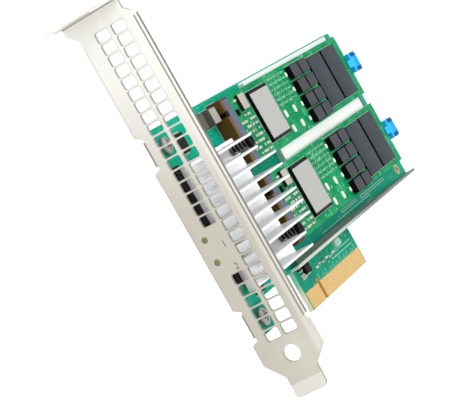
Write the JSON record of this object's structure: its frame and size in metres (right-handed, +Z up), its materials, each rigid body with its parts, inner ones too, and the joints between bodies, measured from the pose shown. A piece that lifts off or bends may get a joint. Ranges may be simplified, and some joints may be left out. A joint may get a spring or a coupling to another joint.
{
  "type": "boot ssd adapter card",
  "caption": "Low-profile expansion card on a full-height vented bracket that carries solid-state boot modules beside a finned heatsink, with gold edge contacts.",
  "frame": {"origin": "on the bracket's outer face, level with the board's component face (Y) and with the lower ends of the edge contacts (Z)", "axes": "+X along the card, away from the bracket; the component side faces -Y; +Z up, towards the bracket's mounting tab"},
  "size_m": [0.1722, 0.0222, 0.1201],
  "materials": {
    "bracket": "satin",
    "bracket_screws": "satin",
    "main_board": "satin",
    "corner_ring_pad": "satin",
    "edge_contacts_front": "satin",
    "edge_contacts_back": "satin",
    "rear_pads": "matt",
    "rear_plate": "satin",
    "lower_rail": "satin",
    "bridge_chip": "matt",
    "thermal_pad": "matt",
    "heatsink": "satin",
    "push_pins": "satin",
    "push_pin_springs": "satin",
    "light_guide_holder": "matt",
    "light_guides": "gloss",
    "power_chokes": "matt",
    "board_chips": "matt",
    "oscillator": "satin",
    "board_capacitors": "satin",
    "module_socket_upper": "satin",
    "module_board_upper": "satin",
    "module_contacts_upper": "satin",
    "module_controller_upper": "satin",
    "module_controller_pad_upper": "matt",
    "module_memory_upper": "matt",
    "module_capacitors_upper": "matt",
    "module_passives_upper": "satin",
    "module_power_parts_upper": "satin",
    "module_clip_upper": "gloss",
    "module_rest_upper": "satin",
    "module_socket_lower": "satin",
    "module_board_lower": "satin",
    "module_contacts_lower": "satin",
    "module_controller_lower": "satin",
    "module_controller_pad_lower": "matt",
    "module_memory_lower": "matt",
    "module_capacitors_lower": "matt",
    "module_passives_lower": "satin",
    "module_power_parts_lower": "satin",
    "module_clip_lower": "gloss",
    "module_rest_lower": "satin"
  },
  "bodies": {
    "root": {"bracket": "bracket", "bracket_screws": "bracket_screws", "main_board": "main_board", "corner_ring_pad": "corner_ring_pad", "edge_contacts_front": "edge_contacts_front", "edge_contacts_back": "edge_contacts_back", "rear_pads": "rear_pads", "rear_plate": "rear_plate", "lower_rail": "lower_rail", "bridge_chip": "bridge_chip", "thermal_pad": "thermal_pad", "heatsink": "heatsink", "push_pins": "push_pins", "push_pin_springs": "push_pin_springs", "light_guide_holder": "light_guide_holder", "light_guides": "light_guides", "power_chokes": "power_chokes", "board_chips": "board_chips", "oscillator": "oscillator", "board_capacitors": "board_capacitors", "module_socket_upper": "module_socket_upper", "module_board_upper": "module_board_upper", "module_contacts_upper": "module_contacts_upper", "module_controller_upper": "module_controller_upper", "module_controller_pad_upper": "module_controller_pad_upper", "module_memory_upper": "module_memory_upper", "module_capacitors_upper": "module_capacitors_upper", "module_passives_upper": "module_passives_upper", "module_power_parts_upper": "module_power_parts_upper", "module_clip_upper": "module_clip_upper", "module_rest_upper": "module_rest_upper", "module_socket_lower": "module_socket_lower", "module_board_lower": "module_board_lower", "module_contacts_lower": "module_contacts_lower", "module_controller_lower": "module_controller_lower", "module_controller_pad_lower": "module_controller_pad_lower", "module_memory_lower": "module_memory_lower", "module_capacitors_lower": "module_capacitors_lower", "module_passives_lower": "module_passives_lower", "module_power_parts_lower": "module_power_parts_lower", "module_clip_lower": "module_clip_lower", "module_rest_lower": "module_rest_lower"}
  },
  "joints": []
}
